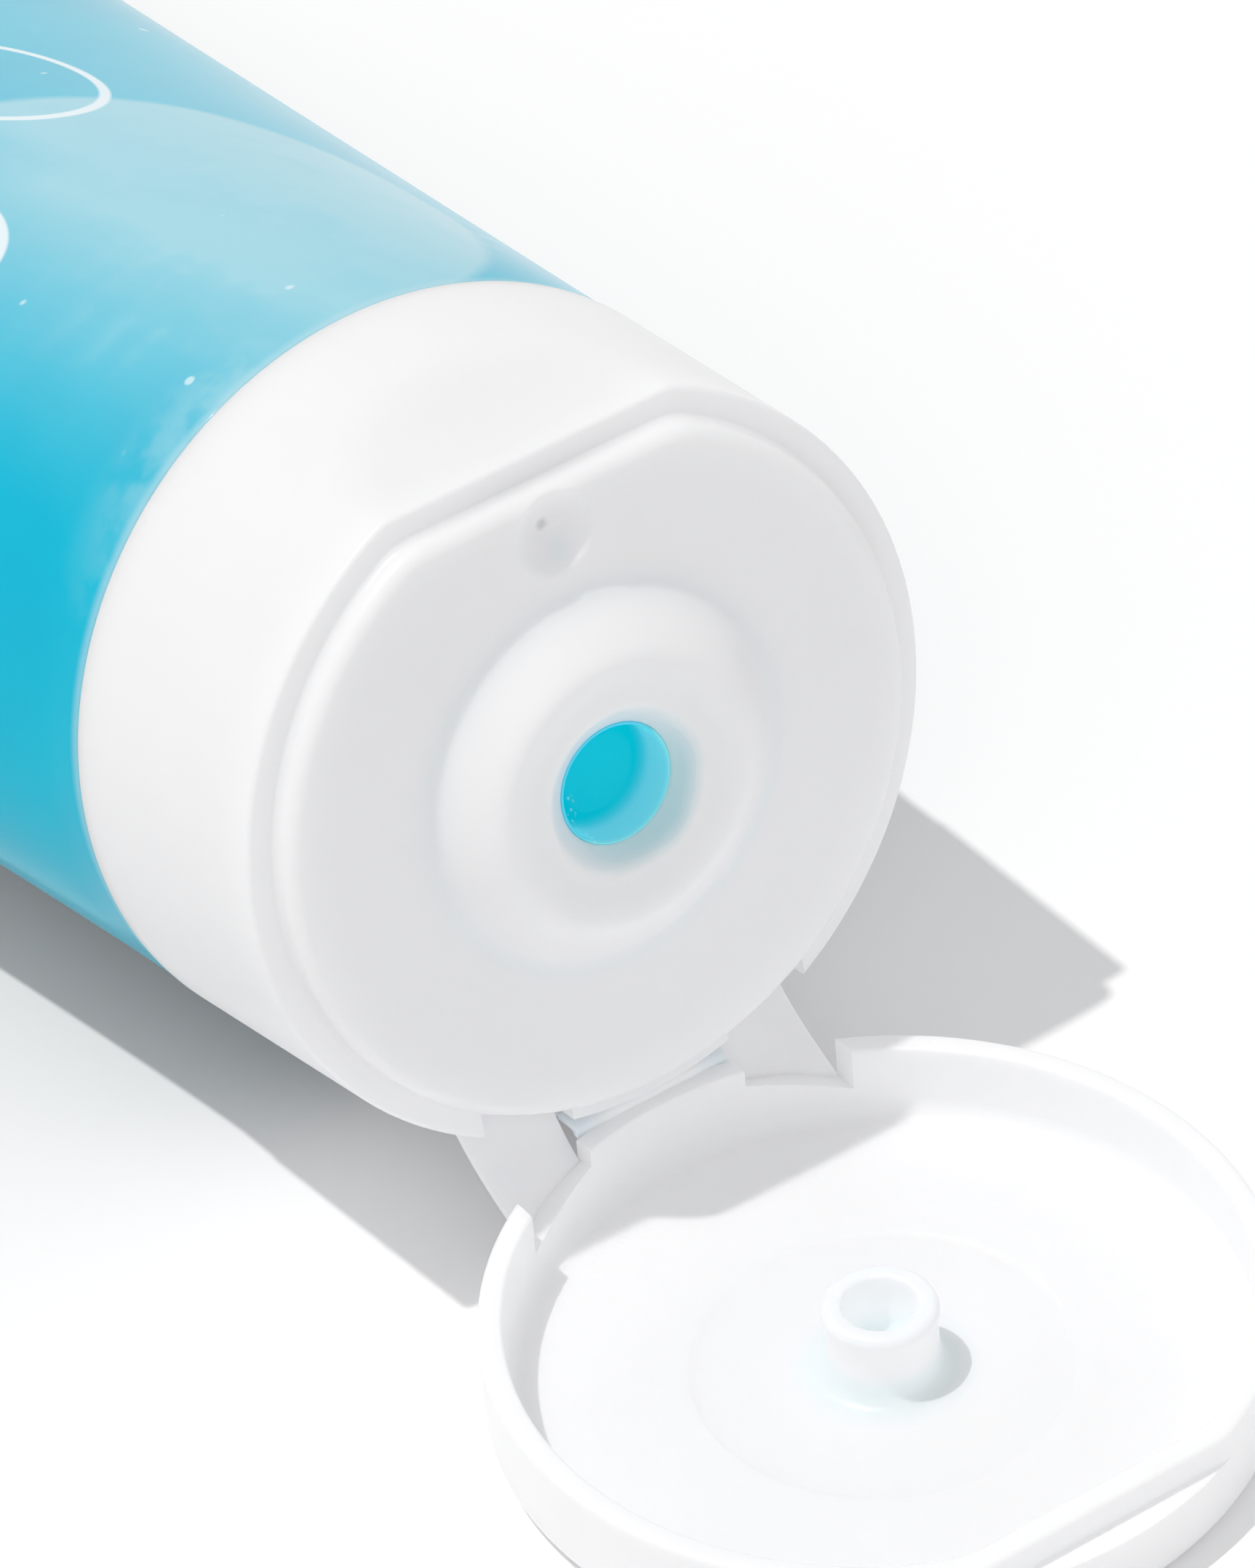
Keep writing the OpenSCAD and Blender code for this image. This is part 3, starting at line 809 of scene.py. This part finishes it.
WHITE_LOW, WHITE_HIGH = linear(250, 250, 251), linear(253, 253, 254)
WET_TINT = linear(166, 214, 222)
FAINT_CYAN = linear(226, 243, 246)
GATE_PIT_SHADE = linear(170, 170, 174)
# a painted glow that stands in for the light coming through the lid's wall, and more of it in the plug's
# bore
LID_GLOW = 0.035
BORE_GLOW = 0.06
# how deep light goes into the white plastic, in metres
PALE_SHINE = 0.0035


def white_plastic(name, tint):
    """Moulded white polypropylene with a fine satin grain. tint gives its colour and roughness over the
    part, and a painted glow that stands in for the light that has come through its walls."""
    g = material_graph(name)
    place = g.place()
    cloud = g.noise(place, 60.0, 3.0)
    grain = g.noise(place, 2600.0, 2.0)
    scuff = g.noise(g.scaled(place, (300.0, 2400.0, 900.0)), 1.0, 3.0, 0.6).between(0.66, 0.74)
    colour = g.mix(cloud.between(0.3, 0.7), WHITE_LOW, WHITE_HIGH)
    rough = 0.3 + cloud * 0.12 + scuff * 0.12
    colour, rough, glow = tint(g, place, colour, rough)
    normal = g.bump(grain, 0.00003, 0.35)
    return g.finish(g.node("ShaderNodeBsdfPrincipled", {}, {
        "Base Color": colour, "Roughness": rough, "Normal": normal, "IOR": 1.49, "Subsurface Weight": 0.45,
        "Emission Color": g.mix(glow, (0.0, 0.0, 0.0), WHITE_HIGH), "Emission Strength": 1.0,
        "Subsurface Radius": (1.0, 1.0, 1.0), "Subsurface Scale": PALE_SHINE}))


def closure_tint(g, place, colour, rough):
    """Gel residue round the orifice, a faint cast in the dimple, and the mark of the moulding gate, with the
    shade of its small pit painted grey.
    """
    across, side, out = g.on_closure(place)
    away = length(across, side)
    edge = (g.noise(place, 260.0, 1.0) - 0.5) * 0.7
    lean = (across + side) / -6
    ring = (away + edge - lean * 0.3).between(6.0, 4.3) * out.between(2.6, 3.0)
    wet = ring * (0.38 + lean * 0.3).at_least(0.12)
    colour = g.mix(wet, colour, WET_TINT)
    boss_foot = (away - 12.9).abs().between(1.6, 0.2) * 0.3
    colour = g.mix(boss_foot, colour, FAINT_CYAN)
    # the gate's mark: a grey dot of painted shade for its small pit
    gate = length(across - DIMPLE_X - GATE_X, side - GATE_SIDE).between(0.62, 0.1) * 0.45
    colour = g.mix(gate, colour, GATE_PIT_SHADE)
    cast = length(across - DIMPLE_X + 1.5, side + 0.3).between(1.4, 0.3) * 0.4
    colour = g.mix(cast, colour, FAINT_CYAN)
    return colour, (rough - wet * 0.22).at_least(0.08), 0.0


def lid_tint(g, place, colour, rough):
    """A painted cyan reflection at the foot of the plug, a faint cyan tint at its tip, and more painted glow
    in the plug's bore.
    """
    across, side, out = g.on_lid(place)
    away = length(across, side)
    inside = out.between(LID_CEILING + 0.7, LID_CEILING + 0.4)
    # painted reflection: a faint cyan cast on the ceiling round the plug's foot
    foot = away.between(7.0, 3.8) * out.between(3.0, 4.6) * inside * 0.6
    tip = away.between(4.2, 3.9) * out.between(1.6, 0.5) * 0.25
    bore = away.between(2.7, 2.3) * out.between(LID_CEILING + 0.1, LID_CEILING - 0.3)
    return g.mix(foot.at_least(tip), colour, FAINT_CYAN), rough - tip * 0.3, LID_GLOW + bore * BORE_GLOW


# a painted glow that stands in for the light that comes through the thin plates
THIN_GLOW = 0.1
FOLD_GLOW = 0.1
THIN_LOW, THIN_HIGH = linear(249, 249, 252), linear(253, 253, 254)
FOLD_WHITE, FOLD_PAINTED_SHADE = linear(248, 249, 250), linear(176, 202, 218)


def thin_plastic(name, opacity):
    """Thin white polypropylene that lets some light through, with faint strain marks in its surface."""
    g = material_graph(name)
    place = g.place()
    cloud = g.noise(place, 300.0, 2.0)
    strain = g.noise(g.scaled(place, (400.0, 1800.0, 400.0)), 1.0, 2.0)
    colour = g.mix(cloud.between(0.3, 0.7), THIN_LOW, THIN_HIGH)
    return g.finish(g.node("ShaderNodeBsdfPrincipled", {}, {
        "Base Color": colour, "Roughness": 0.26 + cloud * 0.12, "Alpha": opacity, "IOR": 1.49,
        # painted glow: the thin plates glow with their own colour
        "Emission Color": colour, "Emission Strength": THIN_GLOW,
        "Subsurface Weight": 0.6, "Subsurface Radius": (1.0, 1.0, 1.0), "Subsurface Scale": 0.002,
        "Normal": g.bump(strain, 0.00003, 0.4)}))


def fold_plastic(name):
    """The folded strip: white, with a faint blue painted shade deep in the fold towards its ends."""
    g = material_graph(name)
    place = g.place()
    across, side, out = g.on_closure(place)
    # painted shade: bluer and darker towards the strip's ends, deep in the fold
    deep = side.abs().between(2.5, 5.8) * 0.4
    colour = g.mix(deep, FOLD_WHITE, FOLD_PAINTED_SHADE)
    return g.finish(g.node("ShaderNodeBsdfPrincipled", {}, {
        "Base Color": colour, "Roughness": 0.3 + g.noise(place, 500.0) * 0.1, "IOR": 1.49,
        "Emission Color": colour, "Emission Strength": FOLD_GLOW,
        "Subsurface Weight": 0.4, "Subsurface Radius": (1.0, 1.0, 1.0), "Subsurface Scale": 0.001}))


# the printed outlines on the sleeve's upper side: distance from the closure, side, half length, half width
PRINT_OVALS = [(45, 10, 14, 6.5), (34, 17.5, 14, 6.0), (63, 20, 14, 6.5), (74, 6, 14, 6.5),
               (64, -9, 14, 6.0), (92, 17, 14, 6.5), (93, -8, 14, 6.5), (104, 4, 12, 5.5)]
# the printed lines across the tail: distance from the closure, half width; and how far they run to each side
PRINT_LINES = [(119.0, 0.3), (121.5, 0.3), (127.5, 0.6)]
LINE_HALF = 33.1
STROKE = 0.27
PRINT_EDGE = 0.08
# the dots on the back: their pitch, how far they run to each side, and from where to where along the tube
DOT_PITCH = 8.0
DOT_HALF = 17.5
DOTS_FROM, DOTS_TO = 14.0, 126.0
# the hazy field, pale with air under the film and with a painted sheen of the bright room: how far it
# reaches to the near side, and the middle and half size of its round edge, each as distance from the closure
# and side
HAZE_SIDE = 20.5
HAZE_AT = (28.0, -0.5)
HAZE_HALF = (31.0, 18.5)
# a small soft smudge under the film: its place and half size in the same way
SMUDGE = (6.8, -8.5)
SMUDGE_HALF = (2.6, 1.1)
FOLD_GRAIN = (55.0, 210.0, 55.0)
DEEP_LOW, DEEP_HIGH = linear(0, 183, 214), linear(0, 191, 219)
HAZE_AND_SHEEN = linear(168, 219, 231)
UNDERSIDE_LIGHT = linear(120, 205, 226)
SEAM_PAINTED_LIGHT = linear(196, 228, 236)
BUBBLE_GLINT = linear(226, 246, 250)
BARE_FILM = linear(150, 214, 230)
INK = linear(238, 248, 251)
GREYED_FILM = linear(132, 134, 134)


def paleness(g, place, across, side, away, soft, fine):
    """How pale the film is painted near the closure: the hazy field with its folds, pale with air under the
    film and with a painted sheen of the bright room, the smudge, painted streaks of reflected light that run
    round the tube, and the frost along the closure's edge."""
    # only the upper side carries the painted sheen, as it faces the bright room
    top = across.between(-4, 4)
    fade = ((HAZE_SIDE - side + (soft - 0.5) * 5) / HAZE_SIDE).at_least(0).at_most(1) ** 1.45
    reach = length((away - HAZE_AT[0]) / HAZE_HALF[0], (side - HAZE_AT[1]) / HAZE_HALF[1])
    far = side.between(1, -7)
    crisp = (reach + (soft - 0.5) * 0.05).between(1.03, 0.97)
    inside = crisp * far + away.between(62, 34) * (1 - far)
    folds = g.noise(g.scaled(place, FOLD_GRAIN), 1.0, 3.0, 0.55)
    beyond = 0.2 + 0.1 * g.noise(place, 22.0, 1.0)
    field = fade * (beyond + (1 - beyond) * inside * (0.74 + 0.5 * folds)) * (0.9 + 0.2 * fine) * top
    smudge = length((away - SMUDGE[0]) / SMUDGE_HALF[0], (side - SMUDGE[1]) / SMUDGE_HALF[1])
    smudge = smudge.between(1.0, 0.2) * 0.3 * top
    # painted reflected light: light lines that run round the tube
    wave = (away * 1.5 + soft * 14 + fine * 3 + side * 0.15).sine() * 0.5 + 0.5
    streaks = wave ** 2 * folds.between(0.42, 0.6) * away.between(26, 12) * away.between(4, 10)
    streaks = streaks * side.between(17, 4) * 0.2
    frost = away.between(6.5, 1.0) * side.between(3, 10) * side.between(24, 16) * 0.35
    frost = frost * g.noise(place, 420.0, 2.0).between(0.3, 0.65)
    return (field + streaks + frost + smudge).at_most(1)


def sleeve_print(across, side, away):
    """The plain print: ovals and lines on the upper side, and dots on the back."""
    ink = None
    for at, beside, half_long, half_wide in PRINT_OVALS:
        ring = length((away - at) / half_long, (side - beside) / half_wide)
        stroke = ((ring - 1).abs() * half_wide).between(STROKE + PRINT_EDGE, STROKE - PRINT_EDGE, False)
        ink = stroke if ink is None else ink.at_least(stroke)
    for at, half in PRINT_LINES:
        line = (away - at).abs().between(half + PRINT_EDGE, half - PRINT_EDGE, False)
        ink = ink.at_least(line * side.abs().between(LINE_HALF + 0.1, LINE_HALF - 0.1, False))
    turn = math.pi / DOT_PITCH
    dots = ((away * turn).sine() * (side * turn).sine()).abs().between(0.965, 0.98, False)
    dots = dots * away.between(DOTS_FROM, DOTS_FROM + 1) * away.between(DOTS_TO, DOTS_TO - 1)
    dots = dots * side.abs().between(DOT_HALF, DOT_HALF - 0.5)
    return ink * across.between(0, 0.4) + dots * across.between(0, -0.4)


def film(name):
    """Clear cyan film over the gel: deep where the gel is thick, and pale near the closure, where air shows
    under it and light is painted in as a sheen on the upper side. It is painted lighter towards its
    underside and along the closure's edge. It carries tiny bubbles, painted as glints, and a plain white
    print."""
    g = material_graph(name)
    place = g.place()
    across, side, out = g.on_closure(place)
    away = -BASE_H - out
    soft = g.noise(place, 45.0, 3.0)
    fine = g.noise(place, 260.0, 3.0)
    deep = g.mix(soft.between(0.3, 0.7), DEEP_LOW, DEEP_HIGH)
    colour = g.mix(paleness(g, place, across, side, away, soft, fine) * 0.93, deep, HAZE_AND_SHEEN)
    # painted light: the film lighter towards its underside, where the white floor's light comes back
    colour = g.mix(across.between(-8, -20) * 0.35, colour, UNDERSIDE_LIGHT)
    # a thin line of painted light where the film meets the closure, lifting the shade under the closure's
    # edge
    colour = g.mix(away.between(1.1, 0.15) * 0.45, colour, SEAM_PAINTED_LIGHT)
    # tiny bubbles in the gel, painted near-white as the glints of light they catch, in a few of the cells
    bubble_glint = g.cells(place, 210.0).between(0.10, 0.05) * g.cells(place, 210.0, "Color").between(0.66, 0.70)
    colour = g.mix(bubble_glint * 0.7, colour, BUBBLE_GLINT)
    # the tail has no gel behind it
    tail = away.between(SLEEVE_LEN - SEAL_LEN - 6, SLEEVE_LEN - SEAL_LEN)
    colour = g.mix(tail * 0.75, colour, BARE_FILM)
    ink = sleeve_print(across, side, away)
    colour = g.mix(ink * 0.92, colour, INK)
    # diffuse rays see the film almost grey, so that it throws no strong cast on the closure and the floor
    colour = g.mix(g.ray("Is Diffuse Ray") * 0.85, colour, GREYED_FILM)
    swell = g.noise(place, 28.0, 1.0)
    normal = g.bump(fine, 0.00002, 0.5, over=g.bump(swell, 0.0006, 0.4))
    return g.finish(g.node("ShaderNodeBsdfPrincipled", {}, {
        "Base Color": colour, "Roughness": 0.13 + soft * 0.08 + ink * 0.12, "Normal": normal,
        "Specular IOR Level": 0.06, "Coat Weight": 0.06, "Coat Roughness": 0.04, "IOR": 1.5}))


# a painted glow that stands in for the light that falls through the tube
GEL_GLOW = 0.36
GEL_LOW, GEL_HIGH = linear(0, 190, 202), linear(0, 182, 218)
GEL_WALL_LIT = linear(136, 212, 220)
BEAD = linear(150, 226, 240)
# the ring of small bubbles: its middle as across and side, and its radius
BEADS_AT = (-2.4, 1.9)
BEADS_R = 0.7


def gel_look(name):
    """Wet clear gel with a painted glow that stands in for the light that falls through the tube. At the
    mouth it is deep, painted darker towards one side as the shade of the orifice's wall, and pale where it
    wets the lower wall, where light is painted in, with a ring of tiny bubbles."""
    g = material_graph(name)
    place = g.place()
    across, side, out = g.on_closure(place)
    cloud = g.noise(place, 380.0, 3.0)
    lean = (across + side * 0.8) / 5 + (cloud - 0.5) * 0.5
    wall = out.between(-0.5, 1.2) * lean.between(0.3, -0.3)
    lip = out.between(2.5, 2.95) * 0.4
    # painted shade and light: darker towards the side the orifice's wall shades, paler on the lower wall and
    # rim
    colour = g.mix(lean.between(-0.3, 0.6), GEL_LOW, GEL_HIGH)
    colour = g.mix((wall * 0.75).at_least(lip), colour, GEL_WALL_LIT)
    ring = (length(across - BEADS_AT[0], side - BEADS_AT[1]) - BEADS_R).abs().between(0.35, 0.1)
    beads = g.cells(place, 2400.0).between(0.45, 0.2) * ring
    colour = g.mix(beads * 0.5, colour, BEAD)
    normal = g.bump(cloud, 0.0001, 0.4, over=g.bump(beads, 0.0001, 0.7))
    return g.finish(g.node("ShaderNodeBsdfPrincipled", {}, {
        "Base Color": colour, "Roughness": 0.1 + cloud * 0.06, "Coat Weight": 0.06, "IOR": 1.38,
        "Specular IOR Level": 0.1, "Normal": normal,
        "Emission Color": colour, "Emission Strength": GEL_GLOW}))


def dress(piece, material):
    piece.data.materials.clear()
    piece.data.materials.append(material)
    for polygon in piece.data.polygons:
        polygon.material_index = 0


thin_pp = thin_plastic("thin_pp", 0.93)
dress(closure, white_plastic("white_pp_closure", closure_tint))
dress(lid, white_plastic("white_pp_lid", lid_tint))
dress(web_left, thin_pp)
dress(web_right, thin_pp)
dress(strip, fold_plastic("fold_pp"))
dress(sleeve, film("cyan_film"))
dress(gel, gel_look("cyan_gel"))
natural_pe = thin_plastic("natural_pe", 1.0)
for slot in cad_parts["shoulder"].material_slots:
    slot.material = natural_pe

# floor, light and camera
FLOOR_GLOW = 0.016
SKY = 0.58
SKY_COLOUR = (0.985, 0.987, 1.0)
g = material_graph("pale_floor")
seen = g.ray("Is Camera Ray").at_least(g.ray("Is Glossy Ray")).at_least(g.ray("Is Transmission Ray"))
matt = g.node("ShaderNodeBsdfDiffuse", {}, {"Color": (0.92, 0.92, 0.92)})
bright = g.node("ShaderNodeBsdfDiffuse", {}, {"Color": (1.0, 1.0, 1.0)})
glow = g.node("ShaderNodeEmission", {}, {"Color": (1.0, 1.0, 1.0), "Strength": FLOOR_GLOW})
shown = g.node("ShaderNodeAddShader", {}, [bright, glow])
floor_material = g.finish(g.node("ShaderNodeMixShader", {}, [seen, matt, shown]))
FLOOR_Z = -0.00002
FLOOR_HALF = 4
corners = [(a * FLOOR_HALF, b * FLOOR_HALF, FLOOR_Z) for a, b in ((-1, -1), (1, -1), (1, 1), (-1, 1))]
floor = add_mesh("floor", corners, [(0, 1, 2, 3)], smooth=False)
floor.data.materials.append(floor_material)

world = bpy.data.worlds.new("studio")
bpy.context.scene.world = world
g = Graph(world)
seen = g.ray("Is Camera Ray").at_least(g.ray("Is Glossy Ray")).at_least(g.ray("Is Transmission Ray"))
sky = g.node("ShaderNodeBackground", {}, {"Color": SKY_COLOUR, "Strength": SKY})
white_room = g.node("ShaderNodeBackground", {}, {"Color": (1.0, 1.0, 1.0), "Strength": 1.0})
g.finish(g.node("ShaderNodeMixShader", {}, [seen, sky, white_room]), "ShaderNodeOutputWorld")


def sun_lamp(name, travel, strength, spread, colour):
    lamp = bpy.data.lights.new(name, "SUN")
    lamp.energy = strength
    lamp.angle = math.radians(spread)
    lamp.color = colour
    sun = bpy.data.objects.new(name, lamp)
    sun.rotation_euler = Vector(travel).normalized().to_track_quat("-Z", "Y").to_euler()
    bpy.context.scene.collection.objects.link(sun)


sun_lamp("sun", (0.21, 0.30, -1.0), 1.33, 1.2, (1.0, 0.995, 0.985))
sun_lamp("fill", (-0.9, 0.25, -0.33), 0.28, 70.0, (1.0, 1.0, 1.0))

CAMERA_AT = Vector((0.466054, -0.254422, 0.427688))
VIEW = Vector((-0.65185175, 0.4108015, -0.63744131))
VIEW_UP = Vector((-0.49361197, 0.40828105, 0.76788919))
FOCAL_PIXELS = 13777.8
PHOTO_WIDE = 1725.0
camera_data = bpy.data.cameras.new("camera")
camera_data.sensor_fit = "HORIZONTAL"
camera_data.sensor_width = 36.0
camera_data.lens = FOCAL_PIXELS * camera_data.sensor_width / PHOTO_WIDE
camera_data.clip_start = 0.01
camera_data.clip_end = 20
camera = bpy.data.objects.new("camera", camera_data)
right = VIEW.cross(VIEW_UP).normalized()
up = right.cross(VIEW).normalized()
camera.matrix_world = Matrix.Translation(CAMERA_AT) @ Matrix((right, up, -VIEW)).transposed().to_4x4()
bpy.context.scene.collection.objects.link(camera)
bpy.context.scene.camera = camera

bpy.context.scene.view_settings.view_transform = "Standard"
